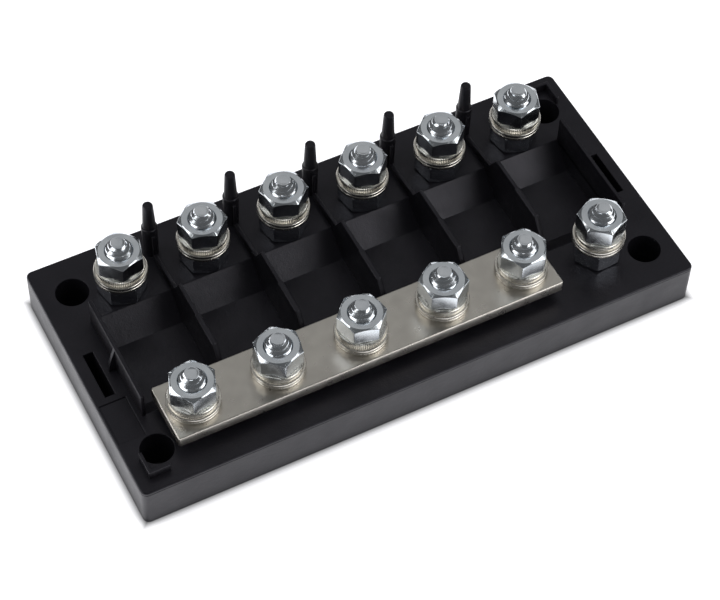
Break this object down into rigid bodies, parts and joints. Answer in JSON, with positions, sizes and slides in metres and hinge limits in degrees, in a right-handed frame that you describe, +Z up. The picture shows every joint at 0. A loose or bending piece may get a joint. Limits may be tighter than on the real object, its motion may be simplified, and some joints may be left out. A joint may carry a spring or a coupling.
{
  "type": "bolt-down fuse holder with bus bar",
  "caption": "Black moulded base for bolt-down fuses with two rows of captive threaded studs, nuts and washers, a common bus bar along one row, partitions between the fuse bays and cover pegs.",
  "frame": {"origin": "centre of the base's underside", "axes": "+X along the stud rows towards the separate stud, +Y from the bus bar's row to the other row, +Z up out of the base"},
  "size_m": [0.181, 0.0866, 0.0372],
  "materials": {
    "base_black": "moulded thermoplastic, fine satin texture",
    "bar_plated": "plated copper bar, satin silver",
    "stud_zinc": "bright zinc plated steel",
    "nut_zinc": "bright zinc plated steel",
    "washer_plated": "nickel plated steel, warm",
    "lock_washer_steel": "zinc plated spring steel"
  },
  "bodies": {
    "holder": {"base": "base_black", "bus_bar": "bar_plated", "studs_back": "stud_zinc", "studs_front": "stud_zinc", "spacer_nuts": "nut_zinc", "bar_nuts": "nut_zinc", "flat_washers_lower_back": "washer_plated", "flat_washers_upper_back": "washer_plated", "flat_washers_lower_front": "washer_plated", "flat_washers_upper_front": "washer_plated"},
    "washer_back_1": {"lock_washer_back_1": "lock_washer_steel"},
    "washer_back_2": {"lock_washer_back_2": "lock_washer_steel"},
    "washer_back_3": {"lock_washer_back_3": "lock_washer_steel"},
    "washer_back_4": {"lock_washer_back_4": "lock_washer_steel"},
    "washer_back_5": {"lock_washer_back_5": "lock_washer_steel"},
    "washer_back_6": {"lock_washer_back_6": "lock_washer_steel"},
    "nut_back_1": {"nut_back_1": "nut_zinc"},
    "nut_back_2": {"nut_back_2": "nut_zinc"},
    "nut_back_3": {"nut_back_3": "nut_zinc"},
    "nut_back_4": {"nut_back_4": "nut_zinc"},
    "nut_back_5": {"nut_back_5": "nut_zinc"},
    "nut_back_6": {"nut_back_6": "nut_zinc"},
    "washer_front_1": {"lock_washer_front_1": "lock_washer_steel"},
    "washer_front_2": {"lock_washer_front_2": "lock_washer_steel"},
    "washer_front_3": {"lock_washer_front_3": "lock_washer_steel"},
    "washer_front_4": {"lock_washer_front_4": "lock_washer_steel"},
    "washer_front_5": {"lock_washer_front_5": "lock_washer_steel"},
    "washer_front_6": {"lock_washer_front_6": "lock_washer_steel"},
    "nut_front_1": {"nut_front_1": "nut_zinc"},
    "nut_front_2": {"nut_front_2": "nut_zinc"},
    "nut_front_3": {"nut_front_3": "nut_zinc"},
    "nut_front_4": {"nut_front_4": "nut_zinc"},
    "nut_front_5": {"nut_front_5": "nut_zinc"},
    "nut_front_6": {"nut_front_6": "nut_zinc"}
  },
  "joints": [
    {"name": "lift_back_1", "type": "slide", "parent": "holder", "child": "washer_back_1", "axis": [0, 0, 1], "range_m": [0, 0.01001]},
    {"name": "lift_back_2", "type": "slide", "parent": "holder", "child": "washer_back_2", "axis": [0, 0, 1], "range_m": [0, 0.01001]},
    {"name": "lift_back_3", "type": "slide", "parent": "holder", "child": "washer_back_3", "axis": [0, 0, 1], "range_m": [0, 0.01001]},
    {"name": "lift_back_4", "type": "slide", "parent": "holder", "child": "washer_back_4", "axis": [0, 0, 1], "range_m": [0, 0.01001]},
    {"name": "lift_back_5", "type": "slide", "parent": "holder", "child": "washer_back_5", "axis": [0, 0, 1], "range_m": [0, 0.01001]},
    {"name": "lift_back_6", "type": "slide", "parent": "holder", "child": "washer_back_6", "axis": [0, 0, 1], "range_m": [0, 0.01001]},
    {"name": "turn_back_1", "type": "hinge", "parent": "washer_back_1", "child": "nut_back_1", "pos_m": [-0.0665, 0.0255, 0.0311], "axis": [0, 0, 1], "range_deg": [0, 2880]},
    {"name": "turn_back_2", "type": "hinge", "parent": "washer_back_2", "child": "nut_back_2", "pos_m": [-0.0399, 0.0255, 0.0311], "axis": [0, 0, 1], "range_deg": [0, 2880]},
    {"name": "turn_back_3", "type": "hinge", "parent": "washer_back_3", "child": "nut_back_3", "pos_m": [-0.0133, 0.0255, 0.0311], "axis": [0, 0, 1], "range_deg": [0, 2880]},
    {"name": "turn_back_4", "type": "hinge", "parent": "washer_back_4", "child": "nut_back_4", "pos_m": [0.0133, 0.0255, 0.0311], "axis": [0, 0, 1], "range_deg": [0, 2880]},
    {"name": "turn_back_5", "type": "hinge", "parent": "washer_back_5", "child": "nut_back_5", "pos_m": [0.0399, 0.0255, 0.0311], "axis": [0, 0, 1], "range_deg": [0, 2880]},
    {"name": "turn_back_6", "type": "hinge", "parent": "washer_back_6", "child": "nut_back_6", "pos_m": [0.0665, 0.0255, 0.0311], "axis": [0, 0, 1], "range_deg": [0, 2880]},
    {"name": "lift_front_1", "type": "slide", "parent": "holder", "child": "washer_front_1", "axis": [0, 0, 1], "range_m": [0, 0.01001]},
    {"name": "lift_front_2", "type": "slide", "parent": "holder", "child": "washer_front_2", "axis": [0, 0, 1], "range_m": [0, 0.01001]},
    {"name": "lift_front_3", "type": "slide", "parent": "holder", "child": "washer_front_3", "axis": [0, 0, 1], "range_m": [0, 0.01001]},
    {"name": "lift_front_4", "type": "slide", "parent": "holder", "child": "washer_front_4", "axis": [0, 0, 1], "range_m": [0, 0.01001]},
    {"name": "lift_front_5", "type": "slide", "parent": "holder", "child": "washer_front_5", "axis": [0, 0, 1], "range_m": [0, 0.01001]},
    {"name": "lift_front_6", "type": "slide", "parent": "holder", "child": "washer_front_6", "axis": [0, 0, 1], "range_m": [0, 0.01001]},
    {"name": "turn_front_1", "type": "hinge", "parent": "washer_front_1", "child": "nut_front_1", "pos_m": [-0.0665, -0.0255, 0.0311], "axis": [0, 0, 1], "range_deg": [0, 2880]},
    {"name": "turn_front_2", "type": "hinge", "parent": "washer_front_2", "child": "nut_front_2", "pos_m": [-0.0399, -0.0255, 0.0311], "axis": [0, 0, 1], "range_deg": [0, 2880]},
    {"name": "turn_front_3", "type": "hinge", "parent": "washer_front_3", "child": "nut_front_3", "pos_m": [-0.0133, -0.0255, 0.0311], "axis": [0, 0, 1], "range_deg": [0, 2880]},
    {"name": "turn_front_4", "type": "hinge", "parent": "washer_front_4", "child": "nut_front_4", "pos_m": [0.0133, -0.0255, 0.0311], "axis": [0, 0, 1], "range_deg": [0, 2880]},
    {"name": "turn_front_5", "type": "hinge", "parent": "washer_front_5", "child": "nut_front_5", "pos_m": [0.0399, -0.0255, 0.0311], "axis": [0, 0, 1], "range_deg": [0, 2880]},
    {"name": "turn_front_6", "type": "hinge", "parent": "washer_front_6", "child": "nut_front_6", "pos_m": [0.0665, -0.0255, 0.0311], "axis": [0, 0, 1], "range_deg": [0, 2880]}
  ],
  "couplings": [
    {"joint": "lift_back_1", "follows": "turn_back_1", "m_per_rad": 0.00019894},
    {"joint": "lift_back_2", "follows": "turn_back_2", "m_per_rad": 0.00019894},
    {"joint": "lift_back_3", "follows": "turn_back_3", "m_per_rad": 0.00019894},
    {"joint": "lift_back_4", "follows": "turn_back_4", "m_per_rad": 0.00019894},
    {"joint": "lift_back_5", "follows": "turn_back_5", "m_per_rad": 0.00019894},
    {"joint": "lift_back_6", "follows": "turn_back_6", "m_per_rad": 0.00019894},
    {"joint": "lift_front_1", "follows": "turn_front_1", "m_per_rad": 0.00019894},
    {"joint": "lift_front_2", "follows": "turn_front_2", "m_per_rad": 0.00019894},
    {"joint": "lift_front_3", "follows": "turn_front_3", "m_per_rad": 0.00019894},
    {"joint": "lift_front_4", "follows": "turn_front_4", "m_per_rad": 0.00019894},
    {"joint": "lift_front_5", "follows": "turn_front_5", "m_per_rad": 0.00019894},
    {"joint": "lift_front_6", "follows": "turn_front_6", "m_per_rad": 0.00019894}
  ]
}
